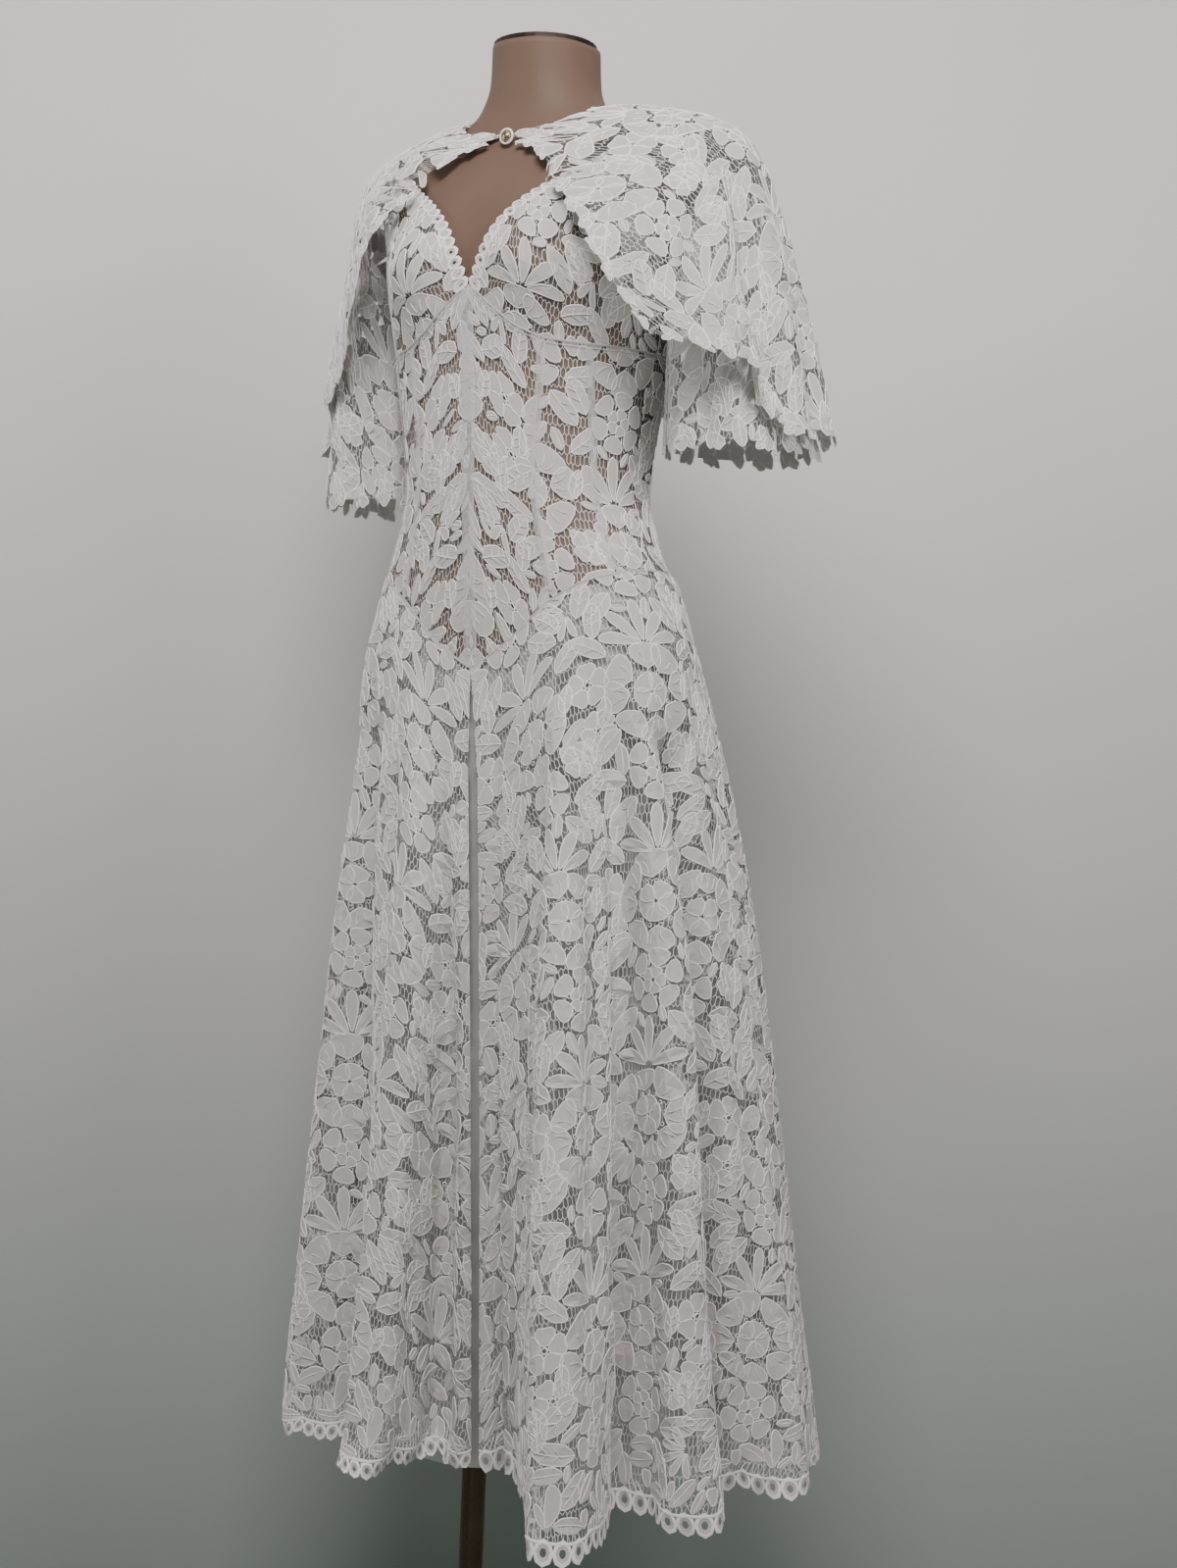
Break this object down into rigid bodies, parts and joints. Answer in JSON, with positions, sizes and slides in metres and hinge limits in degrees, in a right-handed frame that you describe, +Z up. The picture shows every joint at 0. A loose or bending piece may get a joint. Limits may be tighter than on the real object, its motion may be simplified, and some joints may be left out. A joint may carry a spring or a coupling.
{
  "type": "lace dress with a buttoned cape, on a limbless dress form",
  "caption": "Ankle-length white floral lace dress with boned bodice, flared lined skirt and short buttoned cape, worn by a limbless dress form on a pole stand.",
  "frame": {"origin": "middle of the underside of the round base, under the pole", "axes": "+Z up, the front of the dress faces -Y, the wearer's left is +X"},
  "size_m": [0.5528, 0.5893, 1.6204],
  "materials": {
    "lace": "corded floral lace, matte cotton with raised outlines",
    "channel_tape": "narrow woven tape, matte",
    "lining": "plain sheer weave",
    "form_skin": "smooth taupe skin, soft sheen",
    "cap_edge": "dark satin",
    "stand_bronze": "dark polished bronze",
    "button_gold": "polished, slightly aged",
    "loop_thread": "twisted thread"
  },
  "bodies": {
    "root": {"bodice_front_centre_left": "lace", "bodice_front_centre_right": "lace", "bodice_front_mid_left": "lace", "bodice_front_mid_right": "lace", "bodice_front_side_left": "lace", "bodice_front_side_right": "lace", "bodice_back_side_left": "lace", "bodice_back_side_right": "lace", "bodice_back_centre_left": "lace", "bodice_back_centre_right": "lace", "cup_left": "lace", "cup_right": "lace", "bodice_upper_back_left": "lace", "bodice_upper_back_right": "lace", "cape_left": "lace", "cape_right": "lace", "sleeve_front_left": "lace", "sleeve_front_right": "lace", "sleeve_back_left": "lace", "sleeve_back_right": "lace", "skirt_front_left": "lace", "skirt_front_right": "lace", "skirt_back_left": "lace", "skirt_back_right": "lace", "channel_centre": "channel_tape", "channel_mid_left": "channel_tape", "channel_mid_right": "channel_tape", "channel_side_left": "channel_tape", "channel_side_right": "channel_tape", "skirt_lining_front": "lining", "skirt_lining_back": "lining", "form_torso": "form_skin", "form_neck_cap": "cap_edge", "stand_pole": "stand_bronze", "stand_flange": "stand_bronze", "stand_base": "stand_bronze", "cape_button": "button_gold", "cape_loop": "loop_thread"}
  },
  "joints": []
}
